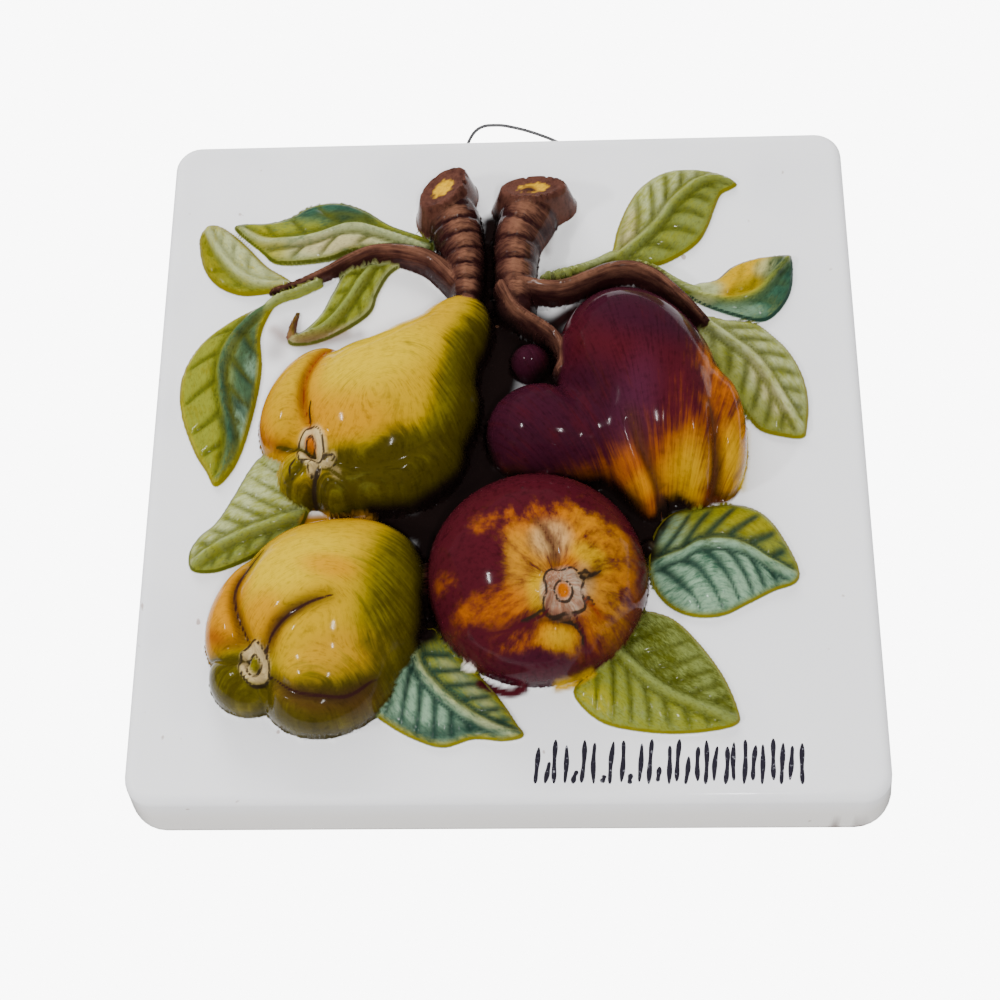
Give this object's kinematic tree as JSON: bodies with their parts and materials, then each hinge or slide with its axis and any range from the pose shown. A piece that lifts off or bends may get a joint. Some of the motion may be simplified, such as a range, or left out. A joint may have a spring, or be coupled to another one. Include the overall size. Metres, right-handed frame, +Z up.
{
  "type": "ceramic relief tile",
  "caption": "Square ceramic wall tile with quinces, apples and leaves on cut stems in high relief, painted and glazed, hung by a wire loop at its top edge.",
  "frame": {"origin": "middle of the flat back, on the wall", "axes": "+Z up, +Y out of the back into the wall, the relief facing -Y, +X to the right as the viewer sees the front"},
  "size_m": [0.206, 0.0524, 0.2195],
  "materials": {
    "painted_glaze": "glossy white tin glaze, the relief hand painted",
    "wire": "dull dark steel wire"
  },
  "bodies": {
    "root": {"tile": "painted_glaze", "hanging_wire": "wire"}
  },
  "joints": []
}
